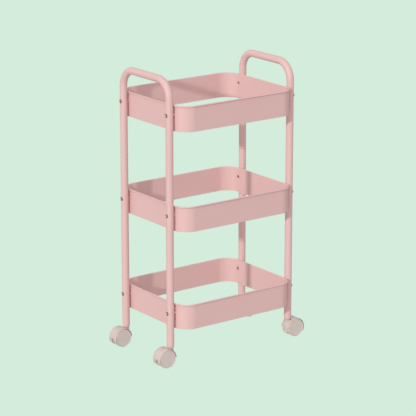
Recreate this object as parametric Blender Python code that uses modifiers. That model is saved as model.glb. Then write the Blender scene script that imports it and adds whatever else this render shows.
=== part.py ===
"""Rolling trolley cart: three open sheet-metal baskets held between two bent tube frames,
on four twin-wheel casters. Metres, +Z up; the origin is on the floor under the middle."""

import math

import bmesh
import bpy
from mathutils import Matrix, Vector

MM = 0.001

# Overall sizes
OVERALL_HEIGHT = 779 * MM
BASKET_LENGTH = 369.2 * MM        # over the outer faces of the end panels
BASKET_DEPTH = 288 * MM           # over the outer faces of the front and back panels
LEG_SPACING = 209 * MM            # front leg to back leg, between centres

# Basket bands
BAND_HEIGHT = 69 * MM
SHEET = 1 * MM
CORNER_RADIUS = 42 * MM           # outer face of the sheet
RIM_DIAMETER = 4 * MM             # rolled top edge, over the sheet
RIM_SWEEP = math.radians(295)
TOP_RIM_HEIGHT = 706.5 * MM
TIER_SPACING = 267.5 * MM
TIERS = ("top", "middle", "bottom")

# Tube frames
TUBE_DIAMETER = 20 * MM
TUBE_WALL = 1.2 * MM
HANDLE_BEND = 47 * MM             # bend radius at the tube's centre line
MOUTH_RISE = 0.5 * MM             # open end of each leg above the top of its wheels
MOUTH_DIAMETER = 15 * MM          # the leg is necked in to this at its end
NECKING_LENGTH = 9.5 * MM

# Screws and the clinch nuts they bite in, which are pressed into the end panels
SCREW_DROP = 25.5 * MM            # screw axis below the basket's rim
SCREW_DIAMETER = 4.8 * MM
SCREW_LENGTH = 23.3 * MM
HEAD_DIAMETER = 10 * MM
HEAD_HEIGHT = 2.8 * MM
HEAD_RIM_HEIGHT = 0.6 * MM
SOCKET_DIAMETER = 3.4 * MM
SOCKET_DEPTH = 1.5 * MM
INSERT_COLLAR_DIAMETER = 9.6 * MM
INSERT_PILOT_DIAMETER = 8 * MM
INSERT_PROUD = 0.5 * MM           # pilot's end beyond the panel's inner face

# Casters
WHEEL_DIAMETER = 50 * MM
WHEEL_INNER = 7.4 * MM            # wheel's inner side, from the caster's middle plane
WHEEL_OUTER = 18 * MM             # wheel's outer face, from the same plane
TRAIL = 18.6 * MM                 # axle behind the swivel axis
AXLE_DIAMETER = 6 * MM
AXLE_LENGTH = 28 * MM
WHEEL_ROUNDING = 1.4 * MM
RING_WIDTH = 2 * MM               # raised ring round the wheel's face
RING_RISE = 0.8 * MM
HOOD_GAP = 0.8 * MM               # between the tread and the hood
HOOD_WALL = 1.2 * MM
HOOD_HALF_WIDTH = 16.6 * MM
HOOD_SKIRT_HEIGHT = 12 * MM       # lower edge of the hood above the floor
HOOD_EDGE = 0.8 * MM
CORE_HALF_WIDTH = 6.9 * MM        # solid middle of the hood, between its wheels
NOTCH_WIDTH = 8 * MM
NOTCH_HEIGHT = 25 * MM
NECK_DIAMETER = 13.6 * MM
NECK_SHOWN = 2.9 * MM             # neck between the hood's recess and the plug's collar
NECK_ROOT = 2 * MM                # depth of the neck below the stem's end
NECK_RECESS_DIAMETER = 19 * MM
STEM_DIAMETER = 8 * MM
STEM_ABOVE = 27.5 * MM            # stem's ends above and below the leg's mouth
STEM_BELOW = 18.5 * MM
COLLAR_DIAMETER = 14.6 * MM
COLLAR_THICKNESS = 1.8 * MM
PLUG_LENGTH = 35 * MM
PLUG_THROAT = 1.5 * MM            # straight part of the plug in the leg's mouth
PLUG_TAPER = 12 * MM              # above it the plug widens over this length

# Clearances
SEAT_GAP = 0.3 * MM               # between pieces that are clamped or pressed together
HOLE_GAP = 0.25 * MM              # on the radius, around a piece that passes through
BEARING_GAP = 0.1 * MM            # on the radius, around a pin that turns

# Facets
TUBE_RESOLUTION = 4               # a curve's bevel resolution: 12 sides
BEND_STEPS = 7
CORNER_STEPS = 6
RIM_STEPS = 7
NECKING_STEPS = 4
WHEEL_SIDES = 24
HOOD_SIDES = 28
SMALL_SIDES = 12                  # a multiple of 4 keeps pins and bores in step
INSERT_SIDES = 8

# Values that follow from the sizes above
TUBE_RADIUS = TUBE_DIAMETER / 2
RIM_OVERHANG = RIM_DIAMETER - SHEET
LEG_X = BASKET_LENGTH / 2 + RIM_OVERHANG + SEAT_GAP + TUBE_RADIUS
LEG_Y = LEG_SPACING / 2
WHEEL_RADIUS = WHEEL_DIAMETER / 2
HOOD_INNER_RADIUS = WHEEL_RADIUS + HOOD_GAP
HOOD_RADIUS = HOOD_INNER_RADIUS + HOOD_WALL
MOUTH_HEIGHT = WHEEL_DIAMETER + MOUTH_RISE
COLLAR_LOW = MOUTH_HEIGHT - SEAT_GAP - COLLAR_THICKNESS
NECK_HIGH = COLLAR_LOW - SEAT_GAP
NECK_RECESS_HEIGHT = COLLAR_LOW - NECK_SHOWN
STEM_HIGH = MOUTH_HEIGHT + STEM_ABOVE
STEM_LOW = MOUTH_HEIGHT - STEM_BELOW
RIM_HEIGHTS = [TOP_RIM_HEIGHT - index * TIER_SPACING for index in range(len(TIERS))]
SIDES = {"left": -1, "right": 1}
ENDS = {"front": -1, "back": 1}


def clear_scene():
    for item in list(bpy.data.objects):
        bpy.data.objects.remove(item, do_unlink=True)


def make_collection(name):
    collection = bpy.data.collections.new(name)
    bpy.context.scene.collection.children.link(collection)
    return collection


def make_material(name, colour, roughness, metallic=0.0):
    material = bpy.data.materials.new(name)
    material.use_nodes = True
    shader = material.node_tree.nodes["Principled BSDF"]
    shader.inputs["Base Color"].default_value = (*colour, 1.0)
    shader.inputs["Roughness"].default_value = roughness
    shader.inputs["Metallic"].default_value = metallic
    return material


def add_object(name, data, collection, material=None):
    item = bpy.data.objects.new(name, data)
    collection.objects.link(item)
    if material and not data.materials:
        data.materials.append(material)
    return item


def make_cutter(item, cutters):
    cutters.objects.link(item)
    item.hide_render = True
    item.display_type = "WIRE"
    return item


def shade_smooth(mesh):
    for polygon in mesh.polygons:
        polygon.use_smooth = True


def curve_to_mesh(curve_object):
    """Replace a curve object with a welded mesh that keeps its place."""
    bpy.context.view_layer.update()
    evaluated = curve_object.evaluated_get(bpy.context.evaluated_depsgraph_get())
    mesh = bpy.data.meshes.new_from_object(evaluated)
    shell = bmesh.new()
    shell.from_mesh(mesh)
    bmesh.ops.remove_doubles(shell, verts=shell.verts, dist=0.001 * MM)
    bmesh.ops.recalc_face_normals(shell, faces=shell.faces)
    shell.to_mesh(mesh)
    shell.free()
    bpy.data.objects.remove(curve_object, do_unlink=True)
    return mesh


def applied_mesh(item):
    """The mesh of an object with its modifiers applied; the object is removed."""
    bpy.context.view_layer.update()
    evaluated = item.evaluated_get(bpy.context.evaluated_depsgraph_get())
    mesh = bpy.data.meshes.new_from_object(evaluated)
    bpy.data.objects.remove(item, do_unlink=True)
    return mesh


def poly_curve(name, points, cyclic=False):
    curve = bpy.data.curves.new(name, "CURVE")
    curve.dimensions = "3D"
    spline = curve.splines.new("POLY")
    spline.points.add(len(points) - 1)
    for spline_point, point in zip(spline.points, points):
        spline_point.co = (*point, 1.0)
    spline.use_cyclic_u = cyclic
    return curve


def turned_mesh(name, profile, sides, closed=False):
    """Turn a profile of (radius, height) points about Z; it runs down its outer side."""
    mesh = bpy.data.meshes.new(name)
    count = len(profile)
    edges = [(index, index + 1) for index in range(count - 1)]
    if closed:
        edges.append((count - 1, 0))
    mesh.from_pydata([(radius, 0, height) for radius, height in profile], edges, [])
    item = bpy.data.objects.new(name, mesh)
    bpy.context.scene.collection.objects.link(item)
    screw = item.modifiers.new("turn", "SCREW")
    screw.steps = sides
    screw.render_steps = sides
    screw.use_merge_vertices = True
    screw.merge_threshold = 0.01 * MM
    return applied_mesh(item)


def add_rod(shell, centre, direction, radius, length, sides=SMALL_SIDES):
    turn = Vector((0, 0, 1)).rotation_difference(Vector(direction)).to_matrix().to_4x4()
    bmesh.ops.create_cone(
        shell, cap_ends=True, segments=sides, radius1=radius, radius2=radius,
        depth=length, matrix=Matrix.Translation(centre) @ turn)


def add_box(shell, low, high):
    size = Vector(high) - Vector(low)
    middle = (Vector(high) + Vector(low)) / 2
    bmesh.ops.create_cube(
        shell, size=1.0, matrix=Matrix.Translation(middle) @ Matrix.Diagonal((*size, 1.0)))


def make_solid(name, add_shapes):
    """A mesh object, not yet in a collection, whose closed shapes a function adds."""
    mesh = bpy.data.meshes.new(name)
    shell = bmesh.new()
    add_shapes(shell)
    shell.to_mesh(mesh)
    shell.free()
    return bpy.data.objects.new(name, mesh)


def add_wall(item, thickness, offset):
    """Thicken a surface; offset -1 keeps it as the outer face, 0 as the middle."""
    wall = item.modifiers.new("wall", "SOLIDIFY")
    wall.thickness = thickness
    wall.offset = offset
    wall.use_even_offset = True


def add_boolean(item, other, operation):
    modifier = item.modifiers.new(operation.lower(), "BOOLEAN")
    modifier.operation = operation
    modifier.solver = "EXACT"
    modifier.object = other


def arc(centre, radius, start, end, steps):
    """Points (across, up) on an arc, both ends included."""
    points = []
    for index in range(steps + 1):
        angle = start + (end - start) * index / steps
        across = centre[0] + radius * math.cos(angle)
        points.append((across, centre[1] + radius * math.sin(angle)))
    return points


# ---------------------------------------------------------------- tube frames

def necking_radius(rise):
    """Outer radius of the leg at a rise above its mouth, over the rounded necking."""
    drop = 1 - min(rise / NECKING_LENGTH, 1)
    mouth = MOUTH_DIAMETER / 2
    return mouth + (TUBE_RADIUS - mouth) * math.sqrt(1 - drop ** 2)


def frame_path():
    """Centre line of one frame in its own plane as (y, z), with each point's radius."""
    bar = OVERALL_HEIGHT - TUBE_RADIUS
    bend = bar - HANDLE_BEND
    rises = [NECKING_LENGTH * index / NECKING_STEPS for index in range(NECKING_STEPS + 1)]
    leg = [(LEG_Y, MOUTH_HEIGHT + rise) for rise in rises]
    radii = [necking_radius(rise) for rise in rises]
    corner = arc((LEG_Y - HANDLE_BEND, bend), HANDLE_BEND, 0, math.pi / 2, BEND_STEPS)
    half = leg + corner
    half_radii = radii + [TUBE_RADIUS] * len(corner)
    mirrored = [(-across, up) for across, up in reversed(half)]
    return half + mirrored, half_radii + half_radii[::-1]


def screw_places():
    """Where each screw's axis crosses its leg's, as (name, side, point)."""
    for side_name, side in SIDES.items():
        for end_name, end in ENDS.items():
            for tier, rim in zip(TIERS, RIM_HEIGHTS):
                point = Vector((side * LEG_X, end * LEG_Y, rim - SCREW_DROP))
                yield f"{tier}_{end_name}_{side_name}", side, point


def build_frames(parts, cutters, material):
    path, radii = frame_path()
    curve = poly_curve("frame_tube", [(0, across, up) for across, up in path])
    for point, radius in zip(curve.splines[0].points, radii):
        point.radius = radius / TUBE_RADIUS
    curve.bevel_depth = TUBE_RADIUS
    curve.bevel_resolution = TUBE_RESOLUTION
    mesh = curve_to_mesh(add_object("frame_tube", curve, parts))
    shade_smooth(mesh)

    def holes(shell):
        radius = SCREW_DIAMETER / 2 + HOLE_GAP
        for _, _, point in screw_places():
            add_rod(shell, point, (1, 0, 0), radius, 2 * TUBE_DIAMETER)

    drill = make_cutter(make_solid("screw_drill", holes), cutters)
    for side_name, side in SIDES.items():
        frame = add_object(f"{side_name}_frame_tube", mesh, parts, material)
        frame.location.x = side * LEG_X
        add_wall(frame, TUBE_WALL, -1)
        add_boolean(frame, drill, "DIFFERENCE")


# ---------------------------------------------------------------- basket bands

def band_outline():
    """Middle of the sheet seen from above, as a loop with rounded corners."""
    half_x = BASKET_LENGTH / 2 - SHEET / 2
    half_y = BASKET_DEPTH / 2 - SHEET / 2
    radius = CORNER_RADIUS - SHEET / 2
    loop = []
    for quarter, (sign_x, sign_y) in enumerate(((1, 1), (-1, 1), (-1, -1), (1, -1))):
        centre = (sign_x * (half_x - radius), sign_y * (half_y - radius))
        start = quarter * math.pi / 2
        loop += arc(centre, radius, start, start + math.pi / 2, CORNER_STEPS)
    return loop


def band_section():
    """Middle of the sheet in section as (outwards, up), from its lower edge round the roll."""
    roll = (RIM_DIAMETER - SHEET) / 2
    centre = (roll, -RIM_DIAMETER / 2)
    return [(0, -BAND_HEIGHT)] + arc(centre, roll, math.pi, math.pi - RIM_SWEEP, RIM_STEPS)


def band_mesh(parts):
    """The sheet's middle surface: its section swept round the outline, rim at height 0."""
    section = poly_curve("section", [(-across, up, 0) for across, up in band_section()])
    bevel = add_object("section", section, parts)
    outline = poly_curve("outline", [(x, y, 0) for x, y in band_outline()], cyclic=True)
    outline.dimensions = "2D"
    outline.bevel_mode = "OBJECT"
    outline.bevel_object = bevel
    mesh = curve_to_mesh(add_object("outline", outline, parts))
    bpy.data.objects.remove(bevel, do_unlink=True)
    return mesh


def build_bands(parts, cutters, material):
    mesh = band_mesh(parts)

    def holes(shell):
        radius = INSERT_PILOT_DIAMETER / 2 + HOLE_GAP
        for _, side, point in screw_places():
            centre = (side * BASKET_LENGTH / 2, point.y, point.z)
            add_rod(shell, centre, (1, 0, 0), radius, 2 * RIM_OVERHANG)

    drill = make_cutter(make_solid("insert_drill", holes), cutters)
    for tier, rim in zip(TIERS, RIM_HEIGHTS):
        band = add_object(f"{tier}_basket_band", mesh, parts, material)
        band.location.z = rim
        add_wall(band, SHEET, 0)
        add_boolean(band, drill, "DIFFERENCE")


# ---------------------------------------------------------------- screws and inserts

def screw_profile():
    """Button head with a drive socket, above a plain shank; height 0 is under the head."""
    head = HEAD_DIAMETER / 2
    socket = SOCKET_DIAMETER / 2
    shank = SCREW_DIAMETER / 2
    return [
        (0, HEAD_HEIGHT - SOCKET_DEPTH),
        (socket, HEAD_HEIGHT - SOCKET_DEPTH),
        (socket, HEAD_HEIGHT),
        (0.75 * head, 0.75 * HEAD_HEIGHT),
        (head, HEAD_RIM_HEIGHT),
        (head, 0),
        (shank, 0),
        (shank, -SCREW_LENGTH),
        (0, -SCREW_LENGTH),
    ]


def insert_profile():
    """Collar between panel and leg, with a pilot through the panel; bored through.
    Height 0 is the panel's outer face."""
    collar = INSERT_COLLAR_DIAMETER / 2
    pilot = INSERT_PILOT_DIAMETER / 2
    bore = SCREW_DIAMETER / 2 + HOLE_GAP
    end = -SHEET - INSERT_PROUD
    return [
        (collar, RIM_OVERHANG),
        (collar, SEAT_GAP),
        (pilot, SEAT_GAP),
        (pilot, end),
        (bore, end),
        (bore, RIM_OVERHANG),
    ]


def build_fasteners(parts, steel, plated):
    screw = turned_mesh("screw", screw_profile(), SMALL_SIDES)
    insert = turned_mesh("insert", insert_profile(), INSERT_SIDES, closed=True)
    shade_smooth(screw)
    head_x = LEG_X + TUBE_RADIUS + SEAT_GAP
    for name, side, point in screw_places():
        for label, mesh, material, x in (
                ("screw", screw, steel, head_x), ("insert", insert, plated, BASKET_LENGTH / 2)):
            item = add_object(f"{name}_{label}", mesh, parts, material)
            item.location = (side * x, point.y, point.z)
            item.rotation_euler = (0, side * math.pi / 2, 0)


# ---------------------------------------------------------------- casters
# A caster is built about its swivel axis, with the floor at height 0 and the axle
# TRAIL behind the axis along -X.

def plug_profile():
    """Plastic plug in the leg's mouth, with its collar below; bored for the stem."""
    body = TUBE_RADIUS - TUBE_WALL - HOLE_GAP
    throat = MOUTH_DIAMETER / 2 - TUBE_WALL - HOLE_GAP
    bore = STEM_DIAMETER / 2 + BEARING_GAP
    high = MOUTH_HEIGHT + PLUG_LENGTH
    return [
        (body, high),
        (body, MOUTH_HEIGHT + PLUG_THROAT + PLUG_TAPER),
        (throat, MOUTH_HEIGHT + PLUG_THROAT),
        (throat, MOUTH_HEIGHT - SEAT_GAP),
        (COLLAR_DIAMETER / 2, MOUTH_HEIGHT - SEAT_GAP),
        (COLLAR_DIAMETER / 2, COLLAR_LOW),
        (bore, COLLAR_LOW),
        (bore, high),
    ]


def stem_profile():
    radius = STEM_DIAMETER / 2
    chamfer = radius / 4
    return [
        (0, STEM_HIGH),
        (radius - chamfer, STEM_HIGH),
        (radius, STEM_HIGH - chamfer),
        (radius, STEM_LOW),
        (0, STEM_LOW),
    ]


def axle_profile():
    radius = AXLE_DIAMETER / 2
    half = AXLE_LENGTH / 2
    return [(0, half), (radius, half), (radius, -half), (0, -half)]


def wheel_profile():
    """Solid wheel with a ring on its outer face and a blind bore from its inner side."""
    face = WHEEL_RADIUS - WHEEL_ROUNDING
    ring = face - RING_WIDTH
    cut = (1 - math.sqrt(0.5)) * WHEEL_ROUNDING
    bore = AXLE_DIAMETER / 2 + BEARING_GAP
    bore_end = AXLE_LENGTH / 2 + SEAT_GAP
    return [
        (0, WHEEL_OUTER - RING_RISE),
        (ring - RING_RISE, WHEEL_OUTER - RING_RISE),
        (ring, WHEEL_OUTER),
        (face, WHEEL_OUTER),
        (WHEEL_RADIUS - cut, WHEEL_OUTER - cut),
        (WHEEL_RADIUS, WHEEL_OUTER - WHEEL_ROUNDING),
        (WHEEL_RADIUS, WHEEL_INNER),
        (bore, WHEEL_INNER),
        (bore, bore_end),
        (0, bore_end),
    ]


def hood_blank():
    """Round bar across the wheels, with its two edges rounded."""
    def add_bar(shell):
        centre = (-TRAIL, 0, WHEEL_RADIUS)
        add_rod(shell, centre, (0, 1, 0), HOOD_RADIUS, 2 * HOOD_HALF_WIDTH, HOOD_SIDES)

    blank = make_solid("hood_blank", add_bar)
    edge = blank.modifiers.new("edge", "BEVEL")
    edge.width = HOOD_EDGE
    edge.segments = 2
    edge.limit_method = "ANGLE"
    return blank


def hood_tools():
    """The cuts and the neck that shape the hood, in order, as (operation, shapes)."""
    reach = 2 * HOOD_RADIUS
    rear = -TRAIL - reach

    def pockets(shell):
        for side in (-1, 1):
            centre = (-TRAIL, side * (CORE_HALF_WIDTH + reach / 2), WHEEL_RADIUS)
            add_rod(shell, centre, (0, 1, 0), HOOD_INNER_RADIUS, reach, HOOD_SIDES)

    def underside(shell):
        add_box(shell, (rear, -reach, -reach), (reach, reach, HOOD_SKIRT_HEIGHT))

    def notch(shell):
        half = NOTCH_WIDTH / 2
        depth = -TRAIL - HOOD_RADIUS / 2
        add_box(shell, (rear, -half, 0), (depth, half, NOTCH_HEIGHT))

    def recess(shell):
        centre = (0, 0, NECK_RECESS_HEIGHT + reach / 2)
        add_rod(shell, centre, (0, 0, 1), NECK_RECESS_DIAMETER / 2, reach, HOOD_SIDES // 2)

    def neck(shell):
        low = STEM_LOW - NECK_ROOT
        centre = (0, 0, (low + NECK_HIGH) / 2)
        add_rod(shell, centre, (0, 0, 1), NECK_DIAMETER / 2, NECK_HIGH - low, HOOD_SIDES // 2)

    def bores(shell):
        axle = AXLE_DIAMETER / 2 + BEARING_GAP
        add_rod(shell, (-TRAIL, 0, WHEEL_RADIUS), (0, 1, 0), axle, reach)
        stem = STEM_DIAMETER / 2 + BEARING_GAP
        add_rod(shell, (0, 0, STEM_LOW - SEAT_GAP + reach / 2), (0, 0, 1), stem, reach)

    return [
        ("DIFFERENCE", pockets),
        ("DIFFERENCE", underside),
        ("DIFFERENCE", notch),
        ("DIFFERENCE", recess),
        ("UNION", neck),
        ("DIFFERENCE", bores),
    ]


def hood_mesh(cutters):
    blank = hood_blank()
    bpy.context.scene.collection.objects.link(blank)
    for operation, shapes in hood_tools():
        tool = make_cutter(make_solid(f"hood_{shapes.__name__}", shapes), cutters)
        add_boolean(blank, tool, operation)
    return applied_mesh(blank)


def add_pivot(name, parts, location, turn=0.0):
    pivot = bpy.data.objects.new(name, None)
    parts.objects.link(pivot)
    pivot.location = location
    pivot.rotation_euler = (0, 0, turn)
    return pivot


def build_casters(parts, cutters, cream, steel):
    plug = turned_mesh("plug", plug_profile(), SMALL_SIDES, closed=True)
    stem = turned_mesh("stem", stem_profile(), SMALL_SIDES)
    axle = turned_mesh("axle", axle_profile(), SMALL_SIDES)
    wheel = turned_mesh("wheel", wheel_profile(), WHEEL_SIDES)
    hood = hood_mesh(cutters)
    for side_name, side in SIDES.items():
        for end_name, end in ENDS.items():
            name = f"{end_name}_{side_name}"
            turn = 0.0 if side < 0 else math.pi
            pivot = add_pivot(f"{name}_swivel", parts, (side * LEG_X, end * LEG_Y, 0), turn)
            for label, mesh, material in (
                    ("plug", plug, cream), ("stem", stem, steel), ("hood", hood, cream)):
                add_object(f"{name}_{label}", mesh, parts, material).parent = pivot
            place_axle_and_wheels(name, pivot, -side * end, parts, axle, wheel, cream, steel)


def place_axle_and_wheels(name, pivot, outer, parts, axle, wheel, cream, steel):
    """Axle and wheels of one caster; outer is the sign of local Y that faces outwards."""
    centre = Matrix.Translation((-TRAIL, 0, WHEEL_RADIUS))
    item = add_object(f"{name}_axle", axle, parts, steel)
    item.parent = pivot
    item.matrix_local = centre @ Matrix.Rotation(-math.pi / 2, 4, "X")
    for label, facing in (("outer", outer), ("inner", -outer)):
        item = add_object(f"{name}_{label}_wheel", wheel, parts, cream)
        item.parent = pivot
        item.matrix_local = centre @ Matrix.Rotation(-facing * math.pi / 2, 4, "X")


def build_cart():
    clear_scene()
    parts = make_collection("spa_trolley_cart")
    cutters = make_collection("cutters")
    paint = make_material("pink_paint", (0.78, 0.48, 0.47), 0.38)
    cream = make_material("cream_plastic", (0.70, 0.62, 0.56), 0.42)
    screw_steel = make_material("screw_steel", (0.45, 0.36, 0.34), 0.35, 0.8)
    plated = make_material("zinc_plate", (0.55, 0.52, 0.50), 0.4, 1.0)
    build_frames(parts, cutters, paint)
    build_bands(parts, cutters, paint)
    build_fasteners(parts, screw_steel, plated)
    build_casters(parts, cutters, cream, plated)


build_cart()
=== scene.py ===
"""Looks of a three-basket rolling trolley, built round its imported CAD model.
Metres, +Z up, origin on the floor under the middle of the cart."""

import math

import bmesh
import bpy
from mathutils import Matrix, Vector


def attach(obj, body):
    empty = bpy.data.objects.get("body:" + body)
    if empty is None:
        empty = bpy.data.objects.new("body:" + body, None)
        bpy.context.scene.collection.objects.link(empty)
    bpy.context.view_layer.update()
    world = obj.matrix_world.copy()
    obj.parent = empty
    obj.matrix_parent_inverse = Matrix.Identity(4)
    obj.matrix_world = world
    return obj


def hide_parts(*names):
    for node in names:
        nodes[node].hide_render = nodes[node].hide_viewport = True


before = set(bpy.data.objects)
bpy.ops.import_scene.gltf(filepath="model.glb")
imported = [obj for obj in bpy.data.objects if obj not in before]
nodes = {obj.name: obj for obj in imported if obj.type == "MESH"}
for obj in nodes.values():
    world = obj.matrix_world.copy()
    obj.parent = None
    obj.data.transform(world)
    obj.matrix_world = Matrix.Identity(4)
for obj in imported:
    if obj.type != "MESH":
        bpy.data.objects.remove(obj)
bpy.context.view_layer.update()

MM = 0.001
scene = bpy.context.scene


# ---------------------------------------------------------------- camera
# A long lens, level across, looking down on the front left corner of the cart.

CAMERA_PLACE = (-3.10916, -4.23212, 1.85879)
CAMERA_PITCH = math.radians(15.756)      # below the horizon
CAMERA_YAW = math.radians(36.323)        # from +Y towards +X
CAMERA_LENS = 174.77

camera = bpy.data.objects.new("camera", bpy.data.cameras.new("camera"))
camera.data.lens = CAMERA_LENS
camera.data.sensor_width = 36
camera.data.clip_end = 100
camera.location = CAMERA_PLACE
camera.rotation_euler = (math.pi / 2 - CAMERA_PITCH, 0, -CAMERA_YAW)
scene.collection.objects.link(camera)
scene.camera = camera
scene.view_settings.view_transform = "Standard"


# ---------------------------------------------------------------- studio
# A plain pale mint sweep, one soft lamp low on the front left, and even light all round
# that is a little stronger in front; the floor glows, so the cart throws no shadow on it.

MINT = (0.658, 0.838, 0.716)
LAMP_HEADING = (1.0, 0.42, -0.375)       # the way its light travels
LAMP_STRENGTH = 0.45
LAMP_ANGLE = math.radians(2.5)
LAMP_TINT = (1.0, 0.99, 0.97)
ROOM_STRENGTH = 0.69
FILL_HEADING = (-0.35, -0.93, 0.10)      # towards the middle of a broad soft light
FILL_STRENGTH = 0.26
SKY_TINT = (1.0, 0.985, 0.97)
SKY_HEIGHT = 0.7                         # of a unit ray, from which the tint is all sky
GROUND_TINT = (0.58, 0.54, 0.52)
GROUND_HEIGHT = -0.6
FLOOR_HALF = 30


def wire(tree, pairs):
    """Join sockets given as (node, output, node, input)."""
    for source, out_name, target, in_name in pairs:
        tree.links.new(source.outputs[out_name], target.inputs[in_name])


def light_room():
    """Light that is weaker from below and stronger in front; the camera sees plain mint."""
    world = bpy.data.worlds.new("studio_room")
    scene.world = world
    world.use_nodes = True
    tree = world.node_tree
    tree.nodes.clear()
    place = tree.nodes.new("ShaderNodeTexCoord")
    split = tree.nodes.new("ShaderNodeSeparateXYZ")
    height = tree.nodes.new("ShaderNodeMapRange")
    height.inputs["From Min"].default_value = GROUND_HEIGHT
    height.inputs["From Max"].default_value = SKY_HEIGHT
    tint = tree.nodes.new("ShaderNodeMix")
    tint.data_type = "RGBA"
    tint.inputs["A"].default_value = (*GROUND_TINT, 1)
    tint.inputs["B"].default_value = (*SKY_TINT, 1)
    room = tree.nodes.new("ShaderNodeBackground")
    facing = tree.nodes.new("ShaderNodeVectorMath")
    facing.operation = "DOT_PRODUCT"
    facing.inputs[1].default_value = FILL_HEADING
    lobe = tree.nodes.new("ShaderNodeMapRange")
    lobe.interpolation_type = "SMOOTHSTEP"
    lobe.inputs["To Min"].default_value = ROOM_STRENGTH
    lobe.inputs["To Max"].default_value = ROOM_STRENGTH + FILL_STRENGTH
    seen = tree.nodes.new("ShaderNodeBackground")
    seen.inputs["Color"].default_value = (*MINT, 1)
    path = tree.nodes.new("ShaderNodeLightPath")
    blend = tree.nodes.new("ShaderNodeMixShader")
    out = tree.nodes.new("ShaderNodeOutputWorld")
    wire(tree, [
        (place, "Generated", split, "Vector"),
        (split, "Z", height, "Value"),
        (height, "Result", tint, "Factor"),
        (tint, "Result", room, "Color"),
        (place, "Generated", facing, "Vector"),
        (facing, "Value", lobe, "Value"),
        (lobe, "Result", room, "Strength"),
        (path, "Is Camera Ray", blend, "Fac"),
        (blend, "Shader", out, "Surface"),
    ])
    tree.links.new(room.outputs["Background"], blend.inputs[1])
    tree.links.new(seen.outputs["Background"], blend.inputs[2])


def add_lamp():
    data = bpy.data.lights.new("key_lamp", "SUN")
    data.energy = LAMP_STRENGTH * math.pi
    data.angle = LAMP_ANGLE
    data.color = LAMP_TINT
    lamp = bpy.data.objects.new("key_lamp", data)
    lamp.rotation_euler = Vector(LAMP_HEADING).to_track_quat("-Z", "Y").to_euler()
    scene.collection.objects.link(lamp)


def lay_floor():
    mesh = bpy.data.meshes.new("studio_floor")
    half = FLOOR_HALF
    corners = [(-half, -half, 0), (half, -half, 0), (half, half, 0), (-half, half, 0)]
    mesh.from_pydata(corners, [], [(0, 1, 2, 3)])
    floor = bpy.data.objects.new("studio_floor", mesh)
    scene.collection.objects.link(floor)
    material = bpy.data.materials.new("mint_sweep")
    material.use_nodes = True
    tree = material.node_tree
    tree.nodes.clear()
    glow = tree.nodes.new("ShaderNodeEmission")
    glow.inputs["Color"].default_value = (*MINT, 1)
    out = tree.nodes.new("ShaderNodeOutputMaterial")
    wire(tree, [(glow, "Emission", out, "Surface")])
    mesh.materials.append(material)
    floor.visible_diffuse = False
    floor.visible_glossy = False
    floor.visible_shadow = False


light_room()
add_lamp()
lay_floor()


# ---------------------------------------------------------------- tube frames
# Each side of the cart is one steel tube, bent into two legs and a handle, necked in
# at both ends, drilled for the screws and powder coated pink.

HEIGHT = 779 * MM
LEG_X = 197.9 * MM
LEG_Y = 104.5 * MM
TUBE_RADIUS = 10 * MM
TUBE_WALL = 1.2 * MM
HANDLE_BEND = 47 * MM
MOUTH_HEIGHT = 50.5 * MM
MOUTH_RADIUS = 7.5 * MM
NECKING_LENGTH = 9.5 * MM
NECKING_STEPS = 10
TUBE_SIDES = 40
BEND_STEPS = 20
SCREW_HOLE_RADIUS = 2.65 * MM
RIM_HEIGHTS = {"top": 706.5 * MM, "middle": 439 * MM, "bottom": 171.5 * MM}
SCREW_DROP = 25.5 * MM                   # screw axis below the basket's rim
HOLE_MARGIN = 8 * MM                     # rings of the tube keep this far from each hole
SIDES = {"left": -1, "right": 1}
ENDS = {"front": -1, "back": 1}
PINK = (0.79, 0.525, 0.512)
HOLE_SIDES = 24
WELD_DISTANCE = 0.002 * MM
SHARP_ANGLE = math.radians(35)
SPECK_LEVEL = 0.72                       # noise above it, less the share, is a speck
STREAK_LEVELS = (0.78, 0.85)             # a streak grows between them; cover lowers the first
PATCH_LEVELS = (0.48, 0.66)              # streaks show where a broad noise passes these
STREAK_STRETCH = (1, 1, 0.12)
DRIFT_GAIN = 1.6                         # of the drift, in the mix of a finish's two tones
STREAK_TINT = 0.35                       # share of the scuff tint in a streak
SPECK_TINT = 0.06
STREAK_ROUGHNESS = 0.12


def effect_group(name, inputs, outputs):
    """Shader node group with number inputs and outputs; returns tree, in node, out node."""
    tree = bpy.data.node_groups.new(name, "ShaderNodeTree")
    for label, value in inputs.items():
        socket = tree.interface.new_socket(label, in_out="INPUT", socket_type="NodeSocketFloat")
        socket.default_value = value
    for label in outputs:
        tree.interface.new_socket(label, in_out="OUTPUT", socket_type="NodeSocketFloat")
    return tree, tree.nodes.new("NodeGroupInput"), tree.nodes.new("NodeGroupOutput")


def sized_noise(tree, place, scale, detail, stretch=(1, 1, 1)):
    """Noise on a piece's own coordinates; scale is a socket or a number of cells a metre."""
    mapping = tree.nodes.new("ShaderNodeMapping")
    mapping.inputs["Scale"].default_value = stretch
    noise = tree.nodes.new("ShaderNodeTexNoise")
    noise.inputs["Detail"].default_value = detail
    wire(tree, [(place, "Object", mapping, "Vector"), (mapping, "Vector", noise, "Vector")])
    if isinstance(scale, (int, float)):
        noise.inputs["Scale"].default_value = scale
    else:
        tree.links.new(scale, noise.inputs["Scale"])
    return noise


def sum_of(tree, operation, first, second=None, third=None):
    """One Math node; each term is a socket or a number."""
    node = tree.nodes.new("ShaderNodeMath")
    node.operation = operation
    for index, term in enumerate((first, second, third)):
        if term is None:
            continue
        if isinstance(term, (int, float)):
            node.inputs[index].default_value = term
        else:
            tree.links.new(term, node.inputs[index])
    return node.outputs[0]


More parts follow.
